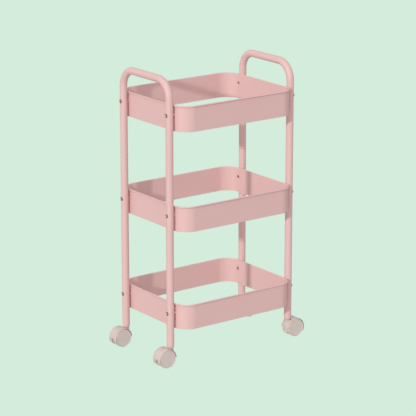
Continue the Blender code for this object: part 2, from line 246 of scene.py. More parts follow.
def build_skin_group():
    """Height of a moulded or sprayed skin: broad ripples with a fine grain on them."""
    tree, given, out = effect_group(
        "skin_texture", {"Ripple Scale": 400, "Grain Scale": 2500, "Grain Share": 0.3}, ["Height"])
    place = tree.nodes.new("ShaderNodeTexCoord")
    ripple = sized_noise(tree, place, given.outputs["Ripple Scale"], 1.5)
    grain = sized_noise(tree, place, given.outputs["Grain Scale"], 2.0)
    fine = sum_of(tree, "MULTIPLY", grain.outputs["Fac"], given.outputs["Grain Share"])
    height = sum_of(tree, "ADD", ripple.outputs["Fac"], fine)
    tree.links.new(height, out.inputs["Height"])
    return tree


def build_tone_group():
    """Slow drift of a finish over a piece, as a mask about zero, and small specks."""
    tree, given, out = effect_group(
        "tone_drift", {"Drift Scale": 9, "Speck Scale": 1400, "Speck Share": 0.05},
        ["Drift", "Specks"])
    place = tree.nodes.new("ShaderNodeTexCoord")
    drift = sized_noise(tree, place, given.outputs["Drift Scale"], 3.0)
    speck = sized_noise(tree, place, given.outputs["Speck Scale"], 1.0)
    edge = sum_of(tree, "SUBTRACT", SPECK_LEVEL, given.outputs["Speck Share"])
    dots = sum_of(tree, "GREATER_THAN", speck.outputs["Fac"], edge)
    centred = sum_of(tree, "SUBTRACT", drift.outputs["Fac"], 0.5)
    tree.links.new(centred, out.inputs["Drift"])
    tree.links.new(dots, out.inputs["Specks"])
    return tree


def build_scuff_group():
    """Thin rubbed streaks that show where hands, boxes or floors touch a piece."""
    tree, given, out = effect_group(
        "rubbed_streaks", {"Streak Scale": 60, "Length": 8, "Cover": 0.2}, ["Mask"])
    place = tree.nodes.new("ShaderNodeTexCoord")
    streak = sized_noise(tree, place, given.outputs["Streak Scale"], 4.0, STREAK_STRETCH)
    patch = sized_noise(tree, place, given.outputs["Length"], 2.0)
    low = sum_of(tree, "SUBTRACT", STREAK_LEVELS[0], given.outputs["Cover"])
    lines = tree.nodes.new("ShaderNodeMapRange")
    lines.inputs["To Max"].default_value = 1.0
    tree.links.new(streak.outputs["Fac"], lines.inputs["Value"])
    tree.links.new(low, lines.inputs["From Min"])
    lines.inputs["From Max"].default_value = STREAK_LEVELS[1]
    where = tree.nodes.new("ShaderNodeMapRange")
    where.inputs["From Min"].default_value = PATCH_LEVELS[0]
    where.inputs["From Max"].default_value = PATCH_LEVELS[1]
    tree.links.new(patch.outputs["Fac"], where.inputs["Value"])
    mask = sum_of(tree, "MULTIPLY", lines.outputs["Result"], where.outputs["Result"])
    tree.links.new(mask, out.inputs["Mask"])
    return tree


skin_texture = build_skin_group()
tone_drift = build_tone_group()
rubbed_streaks = build_scuff_group()


def add_effect(tree, group, **values):
    """Place an effect group in a material with its own values."""
    node = tree.nodes.new("ShaderNodeGroup")
    node.node_tree = group
    for label, value in values.items():
        node.inputs[label.replace("_", " ").title()].default_value = value
    return node


def finish(name, colour, deep, roughness, rough_spread, bump, skin, tone, scuff, scuff_tint,
           metallic=0.0, **constants):
    """A finish: its colour drifts between two tones, with specks, streaks and a skin."""
    material = bpy.data.materials.new(name)
    material.use_nodes = True
    material.diffuse_color = (*colour, 1)
    tree = material.node_tree
    shader = tree.nodes["Principled BSDF"]
    shader.inputs["Metallic"].default_value = metallic
    for label, value in constants.items():
        shader.inputs[label.replace("_", " ")].default_value = value
    drift = add_effect(tree, tone_drift, **tone)
    streaks = add_effect(tree, rubbed_streaks, **scuff)
    surface = add_effect(tree, skin_texture, **skin)

    body = tree.nodes.new("ShaderNodeMix")
    body.data_type = "RGBA"
    body.inputs["A"].default_value = (*colour, 1)
    body.inputs["B"].default_value = (*deep, 1)
    depth = sum_of(tree, "MULTIPLY_ADD", drift.outputs["Drift"], DRIFT_GAIN, 0.5)
    tree.links.new(depth, body.inputs["Factor"])
    rubbed = tree.nodes.new("ShaderNodeMix")
    rubbed.data_type = "RGBA"
    rubbed.inputs["B"].default_value = (*scuff_tint, 1)
    share = sum_of(tree, "MULTIPLY", streaks.outputs["Mask"], STREAK_TINT)
    dotted = sum_of(tree, "MULTIPLY_ADD", drift.outputs["Specks"], SPECK_TINT, share)
    tree.links.new(dotted, rubbed.inputs["Factor"])
    wire(tree, [(body, "Result", rubbed, "A"), (rubbed, "Result", shader, "Base Color")])

    rough = sum_of(tree, "MULTIPLY_ADD", drift.outputs["Drift"], rough_spread, roughness)
    worn = sum_of(tree, "MULTIPLY_ADD", streaks.outputs["Mask"], STREAK_ROUGHNESS, rough)
    tree.links.new(worn, shader.inputs["Roughness"])

    relief = tree.nodes.new("ShaderNodeBump")
    relief.inputs["Strength"].default_value = 1.0
    relief.inputs["Distance"].default_value = bump
    wire(tree, [(surface, "Height", relief, "Height"), (relief, "Normal", shader, "Normal")])
    return material


powder_coat = finish(
    "pink_powder_coat", PINK, (0.765, 0.505, 0.492), 0.50, 0.10, 0.035 * MM,
    skin={"ripple_scale": 520, "grain_scale": 2600, "grain_share": 0.25},
    tone={"drift_scale": 7, "speck_scale": 1500, "speck_share": 0.03},
    scuff={"streak_scale": 70, "length": 9, "cover": 0.16}, scuff_tint=(0.88, 0.60, 0.585),
    Specular_IOR_Level=0.6)


def sweep_tree(name, inputs):
    """Geometry Nodes tree with geometry in and out, named sizes and a material input."""
    tree = bpy.data.node_groups.new(name, "GeometryNodeTree")
    tree.interface.new_socket("Shape", in_out="INPUT", socket_type="NodeSocketGeometry")
    for label, kind in inputs.items():
        tree.interface.new_socket(label, in_out="INPUT", socket_type="NodeSocket" + kind)
    tree.interface.new_socket("Finish", in_out="INPUT", socket_type="NodeSocketMaterial")
    tree.interface.new_socket("Shape", in_out="OUTPUT", socket_type="NodeSocketGeometry")
    return tree, tree.nodes.new("NodeGroupInput"), tree.nodes.new("NodeGroupOutput")


def end_tree(tree, given, out, source, socket="Geometry"):
    """Every tree ends alike: real geometry, smooth, in its finish."""
    real = tree.nodes.new("GeometryNodeRealizeInstances")
    smooth = tree.nodes.new("GeometryNodeSetShadeSmooth")
    coat = tree.nodes.new("GeometryNodeSetMaterial")
    wire(tree, [
        (source, socket, real, "Geometry"),
        (real, "Geometry", smooth, "Geometry"),
        (smooth, "Geometry", coat, "Geometry"),
        (given, "Finish", coat, "Material"),
        (coat, "Geometry", out, "Shape"),
    ])


def plain_mesh(item, name):
    """The mesh of an object with its modifiers applied; the object is removed."""
    bpy.context.view_layer.update()
    evaluated = item.evaluated_get(bpy.context.evaluated_depsgraph_get())
    mesh = bpy.data.meshes.new_from_object(evaluated)
    mesh.name = name
    bpy.data.objects.remove(item, do_unlink=True)
    return mesh


def grown(name, base, tree, sizes, material):
    """Run a tree on a base mesh with its sizes and return the plain mesh it makes."""
    item = bpy.data.objects.new(name, base)
    scene.collection.objects.link(item)
    modifier = item.modifiers.new(tree.name, "NODES")
    modifier.node_group = tree
    values = dict(sizes, Finish=material)
    for socket in tree.interface.items_tree:
        if socket.in_out == "INPUT" and socket.name in values:
            modifier[socket.identifier] = values[socket.name]
    return plain_mesh(item, name)


def wire_mesh(name, points):
    """Open chain of edges through points."""
    mesh = bpy.data.meshes.new(name)
    mesh.from_pydata(points, [(index, index + 1) for index in range(len(points) - 1)], [])
    return mesh


def facing_out(mesh):
    """Weld doubles and turn every face outwards."""
    shell = bmesh.new()
    shell.from_mesh(mesh)
    bmesh.ops.remove_doubles(shell, verts=shell.verts, dist=WELD_DISTANCE)
    bmesh.ops.recalc_face_normals(shell, faces=shell.faces)
    shell.to_mesh(mesh)
    shell.free()
    return mesh


def add_rod(shell, centre, direction, radius, length, sides):
    """Closed rod about a centre, its axis along a direction."""
    turn = Vector((0, 0, 1)).rotation_difference(Vector(direction)).to_matrix().to_4x4()
    bmesh.ops.create_cone(
        shell, cap_ends=True, segments=sides, radius1=radius, radius2=radius,
        depth=length, matrix=Matrix.Translation(centre) @ turn)


def tool_object(name, add_shapes):
    """An object whose closed shapes a function adds, used to cut or to join."""
    shell = bmesh.new()
    add_shapes(shell)
    mesh = bpy.data.meshes.new(name)
    shell.to_mesh(mesh)
    shell.free()
    tool = bpy.data.objects.new(name, mesh)
    scene.collection.objects.link(tool)
    return tool


def shape_with(mesh, name, steps):
    """Apply modifiers given as (kind, settings) to a mesh and return the new mesh."""
    item = bpy.data.objects.new(name, mesh)
    scene.collection.objects.link(item)
    for kind, settings in steps:
        modifier = item.modifiers.new(kind.lower(), kind)
        for key, value in settings.items():
            setattr(modifier, key, value)
    return plain_mesh(item, name)


def cut_by(tool, operation="DIFFERENCE"):
    """A step for shape_with: cut by a tool, or join with it."""
    return ("BOOLEAN", {"operation": operation, "solver": "EXACT", "object": tool})


def show(name, mesh, body, replaced):
    """Put a finished mesh in the scene as a piece that stands for CAD nodes."""
    mesh.set_sharp_from_angle(angle=SHARP_ANGLE)
    mesh = shape_with(mesh, name, [("WEIGHTED_NORMAL", {"keep_sharp": True, "weight": 100})])
    piece = bpy.data.objects.new(name, mesh)
    scene.collection.objects.link(piece)
    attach(piece, body)
    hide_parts(*replaced)
    return piece


def build_tube_tree():
    """Bends a chain of leg points into a handle frame and sweeps a round tube along it."""
    tree, given, out = sweep_tree("bent_tube", {
        "Bend Radius": "Float", "Bend Height": "Float", "Bend Steps": "Int",
        "Tube Radius": "Float", "Mouth Radius": "Float", "Mouth Height": "Float",
        "Necking Length": "Float", "Sides": "Int"})
    line = tree.nodes.new("GeometryNodeMeshToCurve")
    bend = tree.nodes.new("GeometryNodeFilletCurve")
    bend.mode = "POLY"
    place = tree.nodes.new("GeometryNodeInputPosition")
    split = tree.nodes.new("ShaderNodeSeparateXYZ")
    ring = tree.nodes.new("GeometryNodeCurvePrimitiveCircle")
    skin = tree.nodes.new("GeometryNodeCurveToMesh")
    wire(tree, [
        (given, "Shape", line, "Mesh"),
        (place, "Position", split, "Vector"),
        (given, "Bend Steps", bend, "Count"),
        (line, "Curve", bend, "Curve"),
        (bend, "Curve", skin, "Curve"),
        (given, "Sides", ring, "Resolution"),
        (given, "Tube Radius", ring, "Radius"),
        (ring, "Curve", skin, "Profile Curve"),
    ])
    height = split.outputs["Z"]
    at_corner = sum_of(tree, "GREATER_THAN", height, given.outputs["Bend Height"])
    radius = sum_of(tree, "MULTIPLY", at_corner, given.outputs["Bend Radius"])
    tree.links.new(radius, bend.inputs["Radius"])
    rise = sum_of(tree, "SUBTRACT", height, given.outputs["Mouth Height"])
    share = sum_of(tree, "DIVIDE", rise, given.outputs["Necking Length"])
    capped = sum_of(tree, "MINIMUM", share, 1.0)
    drop = sum_of(tree, "SUBTRACT", 1.0, capped)
    squared = sum_of(tree, "MULTIPLY", drop, drop)
    swell = sum_of(tree, "SQRT", sum_of(tree, "SUBTRACT", 1.0, squared))
    narrow = sum_of(tree, "DIVIDE", given.outputs["Mouth Radius"], given.outputs["Tube Radius"])
    room = sum_of(tree, "SUBTRACT", 1.0, narrow)
    tree.links.new(sum_of(tree, "MULTIPLY_ADD", room, swell, narrow), skin.inputs["Scale"])
    end_tree(tree, given, out, skin, "Mesh")
    return tree


def leg_heights():
    """Heights of the rings up a leg: close over the necking, and a pair round each hole."""
    shares = [index / NECKING_STEPS for index in range(NECKING_STEPS + 1)]
    rises = [NECKING_LENGTH * share ** 1.5 for share in shares]
    heights = [MOUTH_HEIGHT + rise for rise in rises]
    for rim in sorted(RIM_HEIGHTS.values()):
        hole = rim - SCREW_DROP
        heights += [hole - HOLE_MARGIN, hole + HOLE_MARGIN]
    return heights


def build_frames():
    bar = HEIGHT - TUBE_RADIUS
    leg = [(0, LEG_Y, height) for height in leg_heights()] + [(0, LEG_Y, bar)]
    chain = leg + [(0, -y, z) for _, y, z in reversed(leg)]
    skin = grown("frame_tube", wire_mesh("frame_chain", chain), build_tube_tree(), {
        "Bend Radius": HANDLE_BEND, "Bend Height": bar - 1 * MM, "Bend Steps": BEND_STEPS,
        "Tube Radius": TUBE_RADIUS, "Mouth Radius": MOUTH_RADIUS,
        "Mouth Height": MOUTH_HEIGHT, "Necking Length": NECKING_LENGTH,
        "Sides": TUBE_SIDES}, powder_coat)
    facing_out(skin)

    def screw_holes(shell):
        for rim in RIM_HEIGHTS.values():
            for end in ENDS.values():
                centre = (0, end * LEG_Y, rim - SCREW_DROP)
                length = 4 * TUBE_RADIUS
                add_rod(shell, centre, (1, 0, 0), SCREW_HOLE_RADIUS, length, HOLE_SIDES)

    drill = tool_object("screw_drill", screw_holes)
    wall = {"thickness": TUBE_WALL, "offset": -1, "use_even_offset": True, "use_rim": True}
    tube = shape_with(skin, "frame_tube", [("SOLIDIFY", wall), cut_by(drill)])
    bpy.data.objects.remove(drill, do_unlink=True)
    for name, side in SIDES.items():
        mesh = tube.copy()
        mesh.transform(Matrix.Translation((side * LEG_X, 0, 0)))
        show(f"{name}_handle_frame", mesh, "cart_frame", [f"{name}_frame_tube"])


build_frames()


# ---------------------------------------------------------------- basket bands
# Each basket is one strip of sheet steel, bent to a round-cornered band and welded, with
# its top edge rolled outwards to a bead; it is powder coated like the frames.

BASKET_LENGTH = 369.2 * MM
BASKET_DEPTH = 288 * MM
CORNER_RADIUS = 42 * MM
SHEET = 1 * MM
BAND_HEIGHT = 69 * MM
BEAD_RADIUS = 1.5 * MM                   # of the middle of the sheet
BEAD_SWEEP = math.radians(320)
BEAD_STEPS = 22
CORNER_STEPS = 24
PILOT_RADIUS = 4 * MM
PILOT_GAP = 0.25 * MM
PILOT_SIDES = 32


def band_section():
    """Middle of the sheet as (outwards, down), from its lower edge round the bead."""
    points = [(0, BAND_HEIGHT, 0), (0, BAND_HEIGHT / 2, 0)]
    top = BEAD_RADIUS + SHEET / 2
    for index in range(BEAD_STEPS + 1):
        angle = math.pi - BEAD_SWEEP * index / BEAD_STEPS
        across = BEAD_RADIUS * (1 + math.cos(angle))
        points.append((across, top - BEAD_RADIUS * math.sin(angle), 0))
    return points


def build_band_tree():
    """Sweeps a sheet section round a rectangle with rounded corners at a rim height."""
    tree, given, out = sweep_tree("rolled_band", {
        "Length": "Float", "Depth": "Float", "Corner Radius": "Float",
        "Corner Steps": "Int", "Rim Height": "Float"})
    line = tree.nodes.new("GeometryNodeMeshToCurve")
    plan = tree.nodes.new("GeometryNodeCurvePrimitiveQuadrilateral")
    corner = tree.nodes.new("GeometryNodeFilletCurve")
    corner.mode = "POLY"
    sheet = tree.nodes.new("GeometryNodeCurveToMesh")
    lift = tree.nodes.new("ShaderNodeCombineXYZ")
    place = tree.nodes.new("GeometryNodeTransform")
    wire(tree, [
        (given, "Shape", line, "Mesh"),
        (given, "Length", plan, "Width"),
        (given, "Depth", plan, "Height"),
        (plan, "Curve", corner, "Curve"),
        (given, "Corner Radius", corner, "Radius"),
        (given, "Corner Steps", corner, "Count"),
        (corner, "Curve", sheet, "Curve"),
        (line, "Curve", sheet, "Profile Curve"),
        (given, "Rim Height", lift, "Z"),
        (sheet, "Mesh", place, "Geometry"),
        (lift, "Vector", place, "Translation"),
    ])
    end_tree(tree, given, out, place)
    return tree


def build_bands():
    tree = build_band_tree()
    section = band_section()

    def pilot_holes(shell):
        for rim in RIM_HEIGHTS.values():
            for side in SIDES.values():
                for end in ENDS.values():
                    centre = (side * BASKET_LENGTH / 2, end * LEG_Y, rim - SCREW_DROP)
                    radius = PILOT_RADIUS + PILOT_GAP
                    add_rod(shell, centre, (1, 0, 0), radius, 10 * SHEET, PILOT_SIDES)

    punch = tool_object("pilot_punch", pilot_holes)
    for tier, rim in RIM_HEIGHTS.items():
        band = grown(f"{tier}_basket", wire_mesh("band_section", section), tree, {
            "Length": BASKET_LENGTH - SHEET, "Depth": BASKET_DEPTH - SHEET,
            "Corner Radius": CORNER_RADIUS - SHEET / 2, "Corner Steps": CORNER_STEPS,
            "Rim Height": rim}, powder_coat)
        facing_out(band)
        wall = {"thickness": SHEET, "offset": 0, "use_even_offset": True, "use_rim": True}
        band = shape_with(band, f"{tier}_basket", [("SOLIDIFY", wall), cut_by(punch)])
        show(f"{tier}_basket", band, "cart_frame", [f"{tier}_basket_band"])
    bpy.data.objects.remove(punch, do_unlink=True)


build_bands()


# ---------------------------------------------------------------- screws and nuts
# Button-head screws pass through both walls of each leg into clinch nuts pressed into the
# end panels; a nut's collar is coated with the panel. The screw heads and the nuts' inner
# ends are painted dark as painted shade, the sockets lighter as a painted highlight.

HEAD_RADIUS = 5 * MM
HEAD_HEIGHT = 2.8 * MM
HEAD_RIM = 0.6 * MM
HEAD_SEAT = 0.3 * MM                     # under the head, off the leg
DRIVE_RADIUS = 2.5 * MM
DRIVE_DEPTH = 0.9 * MM
SHANK_RADIUS = 2.4 * MM
SHANK_LENGTH = 23.3 * MM
NUT_COLLAR_RADIUS = 4.8 * MM
NUT_COLLAR_LENGTH = 3 * MM
NUT_PROUD = 0.5 * MM
NUT_BORE = 2.65 * MM
NUT_EDGE = 0.3 * MM
SHANK_EDGE = 0.4 * MM
SMALL_SIDES = 32
TIER_SPACING = RIM_HEIGHTS["top"] - RIM_HEIGHTS["middle"]


def turned(name, profile, sides, closed=False):
    """Turn (radius, height) points about Z into one welded mesh with outward faces."""
    shell = bmesh.new()
    corners = [shell.verts.new((radius, 0, height)) for radius, height in profile]
    chain = [shell.edges.new(pair) for pair in zip(corners, corners[1:])]
    if closed:
        chain.append(shell.edges.new((corners[-1], corners[0])))
    bmesh.ops.spin(
        shell, geom=corners + chain, cent=(0, 0, 0), axis=(0, 0, 1), angle=2 * math.pi,
        steps=sides, use_merge=True)
    bmesh.ops.remove_doubles(shell, verts=shell.verts, dist=WELD_DISTANCE)
    bmesh.ops.recalc_face_normals(shell, faces=shell.faces)
    mesh = bpy.data.meshes.new(name)
    shell.to_mesh(mesh)
    shell.free()
    return mesh


def quarter(centre, radius, start, end, steps):
    """(radius, height) points on a fillet from one angle to another, in degrees."""
    points = []
    for index in range(steps + 1):
        angle = math.radians(start + (end - start) * index / steps)
        across = centre[0] + radius * math.cos(angle)
        points.append((across, centre[1] + radius * math.sin(angle)))
    return points


def screw_mesh():
    """Domed head with a hexagon socket over a plain shank; height 0 is under the head."""
    sagitta = HEAD_HEIGHT - HEAD_RIM
    dome = (HEAD_RADIUS ** 2 + sagitta ** 2) / (2 * sagitta)
    low = HEAD_HEIGHT - dome
    side = math.degrees(math.asin((HEAD_RIM - low) / dome))
    crown = quarter((0, low), dome, 90, side, 12)
    profile = crown + [
        (HEAD_RADIUS, 0), (SHANK_RADIUS, 0), (SHANK_RADIUS, SHANK_EDGE - SHANK_LENGTH),
        (SHANK_RADIUS - SHANK_EDGE, -SHANK_LENGTH), (0, -SHANK_LENGTH)]
    blank = turned("screw", profile, SMALL_SIDES)
    blank.materials.append(painted_shade_steel)
    blank.materials.append(painted_highlight_steel)
    for polygon in blank.polygons:
        polygon.use_smooth = True

    def hexagon(shell):
        depth = 2 * DRIVE_DEPTH
        centre = (0, 0, HEAD_HEIGHT - DRIVE_DEPTH + depth / 2)
        add_rod(shell, centre, (0, 0, 1), DRIVE_RADIUS, depth, 6)

    drive = tool_object("hex_drive", hexagon)
    screw = shape_with(blank, "screw", [cut_by(drive)])
    bpy.data.objects.remove(drive, do_unlink=True)
    # Socket faces take the lighter steel as a painted highlight; the rest of the head keeps the
    # dark steel as painted shade.
    for polygon in screw.polygons:
        middle = polygon.center
        inside = math.hypot(middle.x, middle.y) < DRIVE_RADIUS
        if inside and 0 < middle.z < HEAD_HEIGHT:
            polygon.material_index = 1
    return screw


def nut_mesh():
    """Collar between panel and leg, pilot through the panel; height 0 is the panel's face."""
    end = -SHEET - NUT_PROUD
    profile = [
        (NUT_COLLAR_RADIUS - NUT_EDGE, NUT_COLLAR_LENGTH),
        (NUT_COLLAR_RADIUS, NUT_COLLAR_LENGTH - NUT_EDGE), (NUT_COLLAR_RADIUS, NUT_EDGE),
        (PILOT_RADIUS, NUT_EDGE), (PILOT_RADIUS, end + NUT_EDGE), (PILOT_RADIUS - NUT_EDGE, end),
        (NUT_BORE + NUT_EDGE, end), (NUT_BORE, end + NUT_EDGE), (NUT_BORE, NUT_COLLAR_LENGTH)]
    nut = turned("clinch_nut", profile, SMALL_SIDES, closed=True)
    nut.materials.append(powder_coat)
    nut.materials.append(painted_shade_steel)
    for polygon in nut.polygons:
        polygon.use_smooth = True
        # The pilot's inner end takes the dark steel: painted shade of the bore round the screw
        # end.
        if polygon.center.z < -SHEET / 2:
            polygon.material_index = 1
    return nut


def build_fastener_tree():
    """Sets a fastener at every crossing of a leg and a basket, its axis along X.

    Only a fastener's first material is set; its second stays as it was made."""
    tree, given, out = sweep_tree("fastener_grid", {
        "Axis Start": "Float", "Legs Apart": "Float", "Top Height": "Float",
        "Tier Spacing": "Float", "Tiers": "Int"})
    start = tree.nodes.new("ShaderNodeCombineXYZ")
    step = tree.nodes.new("ShaderNodeCombineXYZ")
    down = tree.nodes.new("ShaderNodeCombineXYZ")
    column = tree.nodes.new("GeometryNodeMeshLine")
    pair = tree.nodes.new("GeometryNodeMeshLine")
    pair.inputs["Count"].default_value = 2
    columns = tree.nodes.new("GeometryNodeInstanceOnPoints")
    points = tree.nodes.new("GeometryNodeRealizeInstances")
    heads = tree.nodes.new("GeometryNodeInstanceOnPoints")
    heads.inputs["Rotation"].default_value = (0, math.pi / 2, 0)
    turn = tree.nodes.new("GeometryNodeTransform")
    turn.inputs["Rotation"].default_value = (0, 0, math.pi)
    both = tree.nodes.new("GeometryNodeJoinGeometry")
    real = tree.nodes.new("GeometryNodeRealizeInstances")
    half = sum_of(tree, "MULTIPLY", given.outputs["Legs Apart"], -0.5)
    fall = sum_of(tree, "MULTIPLY", given.outputs["Tier Spacing"], -1.0)
    tree.links.new(half, start.inputs["Y"])
    tree.links.new(fall, down.inputs["Z"])
    wire(tree, [
        (given, "Axis Start", start, "X"),
        (given, "Top Height", start, "Z"),
        (given, "Legs Apart", step, "Y"),
        (given, "Tiers", column, "Count"),
        (down, "Vector", column, "Offset"),
        (start, "Vector", pair, "Start Location"),
        (step, "Vector", pair, "Offset"),
        (pair, "Mesh", columns, "Points"),
        (column, "Mesh", columns, "Instance"),
        (columns, "Instances", points, "Geometry"),
        (points, "Geometry", heads, "Points"),
        (given, "Shape", heads, "Instance"),
        (heads, "Instances", turn, "Geometry"),
        (heads, "Instances", both, "Geometry"),
        (turn, "Geometry", both, "Geometry"),
        (both, "Geometry", real, "Geometry"),
    ])
    coat = tree.nodes.new("GeometryNodeSetMaterial")
    choose = tree.nodes.new("GeometryNodeInputMaterialIndex")
    first = sum_of(tree, "LESS_THAN", choose.outputs["Material Index"], 0.5)
    tree.links.new(first, coat.inputs["Selection"])
    wire(tree, [
        (real, "Geometry", coat, "Geometry"),
        (given, "Finish", coat, "Material"),
        (coat, "Geometry", out, "Shape"),
    ])
    return tree


def places(label):
    """CAD names of the twelve fasteners of one kind."""
    return [f"{tier}_{end}_{side}_{label}"
            for tier in RIM_HEIGHTS for end in ENDS for side in SIDES]


def build_fasteners():
    tree = build_fastener_tree()
    grid = {"Legs Apart": 2 * LEG_Y, "Top Height": RIM_HEIGHTS["top"] - SCREW_DROP,
            "Tier Spacing": TIER_SPACING, "Tiers": len(RIM_HEIGHTS)}
    under_heads = {**grid, "Axis Start": LEG_X + TUBE_RADIUS + HEAD_SEAT}
    screws = grown("panel_screws", screw_mesh(), tree, under_heads, painted_shade_steel)
    show("panel_screws", screws, "cart_frame", places("screw"))
    on_panels = {**grid, "Axis Start": BASKET_LENGTH / 2}
    nuts = grown("clinch_nuts", nut_mesh(), tree, on_panels, powder_coat)
    show("clinch_nuts", nuts, "cart_frame", places("insert"))


# Dark pinkish steel for the screw heads and the nuts' inner ends: painted shade, tinted pink as a
# painted reflection of the coat round them.
painted_shade_steel = finish(
    "steel_painted_shade", (0.24, 0.155, 0.145), (0.19, 0.12, 0.11), 0.60, 0.12, 0.01 * MM,
    skin={"ripple_scale": 900, "grain_scale": 5000, "grain_share": 0.5},
    tone={"drift_scale": 260, "speck_scale": 3000, "speck_share": 0.04},
    scuff={"streak_scale": 500, "length": 120, "cover": 0.25}, scuff_tint=(0.40, 0.31, 0.29),
    metallic=0.4)
# Lighter steel for the socket floors: a painted highlight in the middle of each head.
painted_highlight_steel = finish(
    "socket_steel_painted_highlight", (0.80, 0.66, 0.63), (0.72, 0.59, 0.56), 0.45, 0.10, 0.01 * MM,
    skin={"ripple_scale": 900, "grain_scale": 5000, "grain_share": 0.5},
    tone={"drift_scale": 260, "speck_scale": 3000, "speck_share": 0.04},
    scuff={"streak_scale": 500, "length": 120, "cover": 0.25}, scuff_tint=(0.85, 0.74, 0.72),
    metallic=0.1)
build_fasteners()


# ---------------------------------------------------------------- casters
# Four twin-wheel casters of cream nylon. A hood with a neck turns on a plated stem that
# is held by a plastic plug in the leg's mouth; two wheels run on a plated axle.

WHEEL_RADIUS = 25 * MM
WHEEL_INNER = 7.4 * MM                   # wheel's inner side, from the caster's middle plane
WHEEL_OUTER = 18 * MM
RING_RADIUS = 22.5 * MM                  # middle of the round bead on the wheel's face
BEAD_HALF_WIDTH = 1.2 * MM
FACE_SUNK = 0.9 * MM                     # the face inside the bead, below its top
STEP_DEPTH = 2.6 * MM                    # shoulder between the bead and the tread
TREAD_EDGE = 0.5 * MM                    # outer edge of the tread; its inner edge has twice it
AXLE_BORE = 3.1 * MM
AXLE_REACH = 14.3 * MM
TRAIL = 18.6 * MM                        # axle behind the swivel axis
HOOD_RADIUS = 27 * MM
HOOD_INNER_RADIUS = 25.8 * MM
HOOD_HALF_WIDTH = 16.6 * MM
HOOD_SKIRT_HEIGHT = 12 * MM
HOOD_FRONT_HEIGHT = 26 * MM              # the hood ends higher at its front
HOOD_EDGE = 0.8 * MM
HOOD_SOFTNESS = 0.35 * MM                # of every other edge of the hood
CORE_HALF_WIDTH = 6.9 * MM
NOTCH_WIDTH = 8 * MM
NOTCH_HEIGHT = 25 * MM
NECK_RADIUS = 6.8 * MM
NECK_HIGH = 48.1 * MM
NECK_LOW = 30 * MM
RECESS_RADIUS = 8.6 * MM
RECESS_HEIGHT = 47.3 * MM
COLUMN_RADIUS = 6.9 * MM
COLUMN_FORWARD = 1.6 * MM                # its axis, ahead of the swivel axis
COLUMN_SUNK = 1 * MM                     # its top, below the recess
STEM_LOW = 32 * MM
STEM_BORE = 4.1 * MM
COLLAR_RADIUS = 7.3 * MM
COLLAR_LOW = 48.4 * MM
PLUG_HIGH = 85.5 * MM
PLUG_RADIUS = 8.55 * MM
PLUG_EDGE = 0.35 * MM
PLUG_SEAT = 0.3 * MM                     # between the leg's mouth and the collar
PLUG_SIDES = 48
THROAT_RADIUS = 6.05 * MM
THROAT_HEIGHT = 52 * MM
TAPER_HEIGHT = 64 * MM
HOOD_SIDES = 96
WHEEL_SIDES = 72
CREAM = (0.71, 0.605, 0.545)
DISC_CREAM = (0.70, 0.63, 0.60)

nylon = finish(
    "hood_nylon", CREAM, (0.62, 0.535, 0.49), 0.44, 0.08, 0.02 * MM,
    skin={"ripple_scale": 700, "grain_scale": 3800, "grain_share": 0.5},
    tone={"drift_scale": 40, "speck_scale": 1800, "speck_share": 0.03},
    scuff={"streak_scale": 160, "length": 40, "cover": 0.2}, scuff_tint=(0.74, 0.66, 0.61),
    Subsurface_Weight=0.04, Subsurface_Scale=0.004)
disc_nylon = finish(
    "wheel_nylon", DISC_CREAM, (0.67, 0.60, 0.57), 0.40, 0.08, 0.015 * MM,
    skin={"ripple_scale": 600, "grain_scale": 4200, "grain_share": 0.5},
    tone={"drift_scale": 50, "speck_scale": 1800, "speck_share": 0.03},
    scuff={"streak_scale": 190, "length": 50, "cover": 0.24}, scuff_tint=(0.76, 0.70, 0.66),
    Subsurface_Weight=0.04, Subsurface_Scale=0.004)
plated = finish(
    "zinc_plated_steel", (0.60, 0.58, 0.56), (0.52, 0.50, 0.49), 0.32, 0.14, 0.01 * MM,
    skin={"ripple_scale": 900, "grain_scale": 5000, "grain_share": 0.5},
    tone={"drift_scale": 120, "speck_scale": 3000, "speck_share": 0.04},
    scuff={"streak_scale": 500, "length": 120, "cover": 0.25}, scuff_tint=(0.75, 0.74, 0.72),
    metallic=1.0)


def wheel_mesh():
    """Nylon disc: a shoulder inside the tread, a round bead on the face, blind axle bore."""
    small = TREAD_EDGE
    middle = WHEEL_OUTER - BEAD_HALF_WIDTH
    shoulder = WHEEL_OUTER - STEP_DEPTH
    profile = [(0, WHEEL_OUTER - FACE_SUNK)]
    profile += quarter((RING_RADIUS, middle), BEAD_HALF_WIDTH, 165, 0, 12)
    profile += [(RING_RADIUS + BEAD_HALF_WIDTH, shoulder)]
    profile += quarter((WHEEL_RADIUS - small, shoulder - small), small, 90, 0, 3)
    inner = (WHEEL_RADIUS - 2 * small, WHEEL_INNER + 2 * small)
    profile += quarter(inner, 2 * small, 0, -90, 4)
    profile += [(AXLE_BORE + small, WHEEL_INNER), (AXLE_BORE, WHEEL_INNER + small),
                (AXLE_BORE, AXLE_REACH), (0, AXLE_REACH)]
    wheel = turned("wheel", profile, WHEEL_SIDES)
    wheel.materials.append(disc_nylon)
    for polygon in wheel.polygons:
        polygon.use_smooth = True
    return wheel


